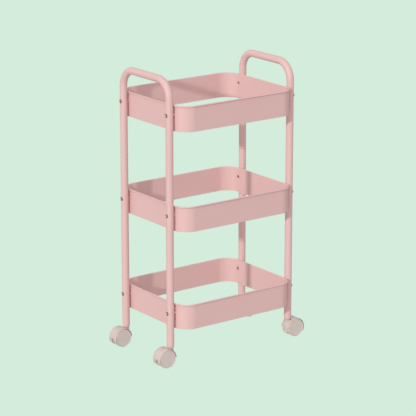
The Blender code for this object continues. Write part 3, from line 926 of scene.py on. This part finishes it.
def hood_mesh():
    """Hood and neck about the swivel axis, with the axle TRAIL behind it along -X."""
    reach = 2 * HOOD_RADIUS
    shell = bmesh.new()
    add_rod(shell, (-TRAIL, 0, WHEEL_RADIUS), (0, 1, 0), HOOD_RADIUS, 2 * HOOD_HALF_WIDTH,
            HOOD_SIDES)
    blank = bpy.data.meshes.new("hood")
    shell.to_mesh(blank)
    shell.free()
    for polygon in blank.polygons:
        polygon.use_smooth = True
    blank.materials.append(nylon)

    def box(shell, low, high):
        size = Vector(high) - Vector(low)
        middle = (Vector(high) + Vector(low)) / 2
        bmesh.ops.create_cube(shell, size=1.0, matrix=(
            Matrix.Translation(middle) @ Matrix.Diagonal((*size, 1.0))))

    def pockets(shell):
        for side in (-1, 1):
            centre = (-TRAIL, side * (CORE_HALF_WIDTH + reach / 2), WHEEL_RADIUS)
            add_rod(shell, centre, (0, 1, 0), HOOD_INNER_RADIUS, reach, HOOD_SIDES)

    def underside(shell):
        box(shell, (-TRAIL - reach, -reach, -reach), (reach, reach, HOOD_SKIRT_HEIGHT))

    def front(shell):
        box(shell, (CORE_HALF_WIDTH - TRAIL, -reach, -reach), (reach, reach, HOOD_FRONT_HEIGHT))

    def notch(shell):
        half = NOTCH_WIDTH / 2
        box(shell, (-TRAIL - reach, -half, 0), (-TRAIL - HOOD_RADIUS / 2, half, NOTCH_HEIGHT))

    def recess(shell):
        centre = (0, 0, RECESS_HEIGHT + reach / 2)
        add_rod(shell, centre, (0, 0, 1), RECESS_RADIUS, reach, HOOD_SIDES // 2)

    def column(shell):
        low, high = HOOD_SKIRT_HEIGHT, RECESS_HEIGHT - COLUMN_SUNK
        centre = (COLUMN_FORWARD, 0, (low + high) / 2)
        add_rod(shell, centre, (0, 0, 1), COLUMN_RADIUS, high - low, HOOD_SIDES // 2)

    def neck(shell):
        centre = (0, 0, (NECK_LOW + NECK_HIGH) / 2)
        add_rod(shell, centre, (0, 0, 1), NECK_RADIUS, NECK_HIGH - NECK_LOW, HOOD_SIDES // 2)

    def bores(shell):
        stem = (0, 0, STEM_LOW + reach / 2)
        add_rod(shell, (-TRAIL, 0, WHEEL_RADIUS), (0, 1, 0), AXLE_BORE, reach, SMALL_SIDES)
        add_rod(shell, stem, (0, 0, 1), STEM_BORE, reach, SMALL_SIDES)

    tools = [(pockets, "DIFFERENCE"), (underside, "DIFFERENCE"), (front, "DIFFERENCE"),
             (notch, "DIFFERENCE"), (recess, "DIFFERENCE"), (column, "UNION"),
             (neck, "UNION"), (bores, "DIFFERENCE")]
    made = [tool_object(f"hood_{shapes.__name__}", shapes) for shapes, _ in tools]
    edge = {"width": HOOD_EDGE, "segments": 4, "limit_method": "ANGLE"}
    steps = [("BEVEL", edge)] + [cut_by(tool, way) for tool, (_, way) in zip(made, tools)]
    soft = {"width": HOOD_SOFTNESS, "segments": 2, "limit_method": "ANGLE",
            "angle_limit": math.radians(50), "use_clamp_overlap": True, "harden_normals": True}
    hood = shape_with(blank, "hood", steps + [("BEVEL", soft)])
    for tool in made:
        bpy.data.objects.remove(tool, do_unlink=True)
    return hood


def plug_mesh():
    """Plug in the leg's mouth with its collar below, bored for the stem."""
    edge = PLUG_EDGE
    mouth = MOUTH_HEIGHT - PLUG_SEAT
    profile = [
        (PLUG_RADIUS - edge, PLUG_HIGH), (PLUG_RADIUS, PLUG_HIGH - edge),
        (PLUG_RADIUS, TAPER_HEIGHT), (THROAT_RADIUS, THROAT_HEIGHT), (THROAT_RADIUS, mouth)]
    profile += quarter((COLLAR_RADIUS - edge, mouth - edge), edge, 90, 0, 3)
    profile += quarter((COLLAR_RADIUS - edge, COLLAR_LOW + edge), edge, 0, -90, 3)
    profile += [(STEM_BORE, COLLAR_LOW), (STEM_BORE, PLUG_HIGH)]
    plug = turned("leg_plug", profile, PLUG_SIDES, closed=True)
    plug.materials.append(nylon)
    for polygon in plug.polygons:
        polygon.use_smooth = True
    return plug


def build_plugs():
    """All four plugs, set out as a pair of pairs by a tree."""
    tree, given, out = sweep_tree(
        "leg_plug_grid", {"Frames Apart": "Float", "Legs Apart": "Float"})
    grid = tree.nodes.new("GeometryNodeMeshGrid")
    grid.inputs["Vertices X"].default_value = 2
    grid.inputs["Vertices Y"].default_value = 2
    plugs = tree.nodes.new("GeometryNodeInstanceOnPoints")
    wire(tree, [
        (given, "Frames Apart", grid, "Size X"),
        (given, "Legs Apart", grid, "Size Y"),
        (grid, "Mesh", plugs, "Points"),
        (given, "Shape", plugs, "Instance"),
    ])
    end_tree(tree, given, out, plugs, "Instances")
    sizes = {"Frames Apart": 2 * LEG_X, "Legs Apart": 2 * LEG_Y}
    mesh = grown("leg_plugs", plug_mesh(), tree, sizes, nylon)
    show("leg_plugs", mesh, "cart_frame",
         [f"{end}_{side}_plug" for end in ENDS for side in SIDES])


def build_casters():
    hood, wheel = hood_mesh(), wheel_mesh()
    for side_name, side in SIDES.items():
        for end_name, end in ENDS.items():
            name = f"{end_name}_{side_name}"
            turn = Matrix.Rotation(0.0 if side < 0 else math.pi, 4, "Z")
            swivel = Matrix.Translation((side * LEG_X, end * LEG_Y, 0)) @ turn
            shell = hood.copy()
            shell.transform(swivel)
            show(f"{name}_caster_hood", shell, f"{name}_caster",
                 [f"{name}_hood"])
            axle = swivel @ Matrix.Translation((-TRAIL, 0, WHEEL_RADIUS))
            outwards = -side * end
            for label, facing in (("outer", outwards), ("inner", -outwards)):
                disc = wheel.copy()
                disc.transform(axle @ Matrix.Rotation(-facing * math.pi / 2, 4, "X"))
                show(f"{name}_{label}_disc", disc, f"{name}_{label}_wheel",
                     [f"{name}_{label}_wheel"])
            for label in ("stem", "axle"):
                slots = nodes[f"{name}_{label}"].data.materials
                slots.clear()
                slots.append(plated)


build_plugs()
build_casters()
